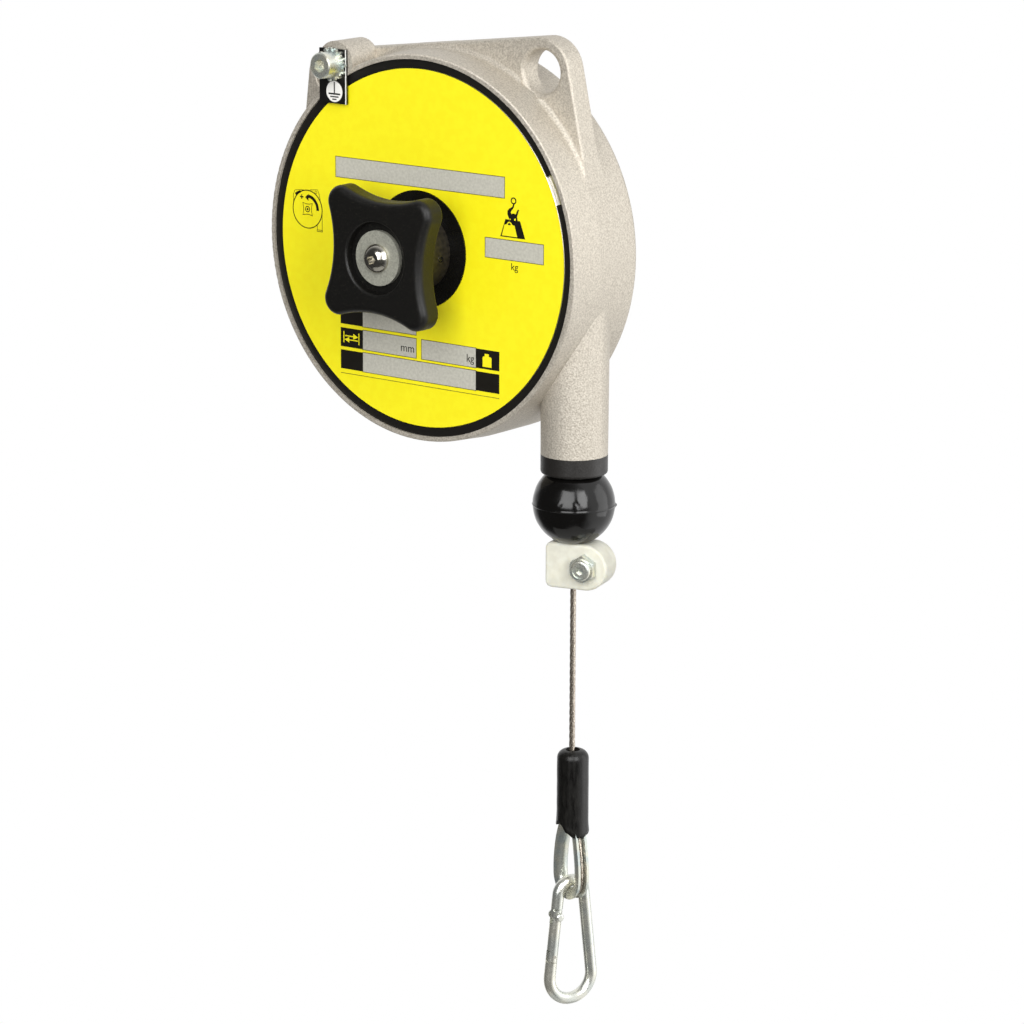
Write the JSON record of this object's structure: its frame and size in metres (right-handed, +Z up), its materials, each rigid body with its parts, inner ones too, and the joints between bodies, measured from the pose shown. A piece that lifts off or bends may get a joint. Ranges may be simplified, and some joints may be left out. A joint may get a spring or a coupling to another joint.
{
  "type": "tool balancer",
  "caption": "Spring tool balancer: die-cast drum housing with hanging ear, four-lobed tension knob, and a wire rope with buffer ball, clamp, thimble and snap hook.",
  "frame": {"origin": "centre of the hanging hole in the right ear, midway through the flange; the rope hangs in the same plane", "axes": "+X to the right seen from the knob side, +Y from the knob side into the housing, +Z up along the rope"},
  "size_m": [0.1301, 0.0606, 0.3246],
  "materials": {
    "cast_aluminium": "die-cast, lightly blasted, warm grey",
    "turned_aluminium": "machined disc",
    "black_oxide_ring": "blackened spring steel",
    "label_film": "printed self-adhesive film",
    "earth_plate": "thin black plate with a white earth symbol",
    "zinc_plated_steel": "bright zinc plating",
    "bright_screw_steel": "bright plated screw",
    "black_nylon": "moulded, satin",
    "black_rubber": "moulded, slightly glossy",
    "natural_nylon": "milky, slightly translucent",
    "plain_steel": "turned",
    "spring_steel": "blued strip",
    "drum_aluminium": "cast and turned",
    "bronze_bush": "sintered",
    "stranded_wire": "galvanised strands",
    "crimp_copper": "crimped"
  },
  "bodies": {
    "housing": {"housing": "cast_aluminium", "front_cover": "turned_aluminium", "cover_retaining_ring": "black_oxide_ring", "front_label": "label_film", "ground_plate": "earth_plate", "ground_tooth_washers": "zinc_plated_steel", "ground_screw": "zinc_plated_steel", "rope_outlet_bush": "black_nylon", "adjuster_bush": "black_nylon", "pawl_pin": "plain_steel", "pawl_spring": "spring_steel", "rope_upper": "stranded_wire"},
    "adjuster": {"arbor": "plain_steel", "hub": "black_nylon", "hub_pin": "plain_steel", "knob": "black_nylon", "knob_washer": "zinc_plated_steel", "knob_screw": "bright_screw_steel", "ratchet_wheel": "plain_steel"},
    "pawl": {"pawl": "plain_steel"},
    "drum": {"drum": "drum_aluminium", "spring_cover": "spring_steel", "drum_bushes": "bronze_bush", "rope_on_drum": "stranded_wire", "power_spring": "spring_steel"},
    "rope_end": {"rope_lower": "stranded_wire", "buffer_ball": "black_rubber", "rope_clamp": "natural_nylon", "clamp_nut": "zinc_plated_steel", "clamp_screw": "zinc_plated_steel", "rope_sleeve": "black_rubber", "ferrule": "crimp_copper", "thimble": "zinc_plated_steel"},
    "hook": {"snap_hook": "zinc_plated_steel", "gate_rivet": "zinc_plated_steel"},
    "gate": {"gate": "zinc_plated_steel", "gate_latch_pin": "zinc_plated_steel", "gate_spring": "spring_steel"}
  },
  "joints": [
    {"name": "knob_turn", "type": "hinge", "parent": "housing", "child": "adjuster", "pos_m": [-0.0403, 0, -0.06], "axis": [0, -1, 0], "range_deg": [0, 1800]},
    {"name": "pawl_lift", "type": "hinge", "parent": "housing", "child": "pawl", "pos_m": [-0.06368, 0, -0.0465], "axis": [0, -1, 0], "range_deg": [0, 12], "stiffness_Nm_per_rad": 0.01, "springref_deg": -28.65},
    {"name": "drum_turn", "type": "hinge", "parent": "housing", "child": "drum", "pos_m": [-0.0403, 0, -0.06], "axis": [0, 1, 0], "range_deg": [0, 1780], "stiffness_Nm_per_rad": 0.0067, "springref_deg": -4297.18},
    {"name": "rope_pull", "type": "slide", "parent": "housing", "child": "rope_end", "axis": [0, 0, -1], "range_m": [0, 1.6], "deforming": ["rope_upper"]},
    {"name": "hook_swing", "type": "hinge", "parent": "rope_end", "child": "hook", "pos_m": [0.0112, 0, -0.2683], "axis": [0.342, 0.9397, 0], "range_deg": [-35, 35]},
    {"name": "gate_open", "type": "hinge", "parent": "hook", "child": "gate", "pos_m": [0.00899, -0.00521, -0.2814], "axis": [0.9205, -0.3907, 0], "range_deg": [0, 24], "stiffness_Nm_per_rad": 0.01, "springref_deg": -34.38}
  ],
  "couplings": [
    {"joint": "rope_pull", "follows": "drum_turn", "m_per_rad": 0.0515}
  ]
}
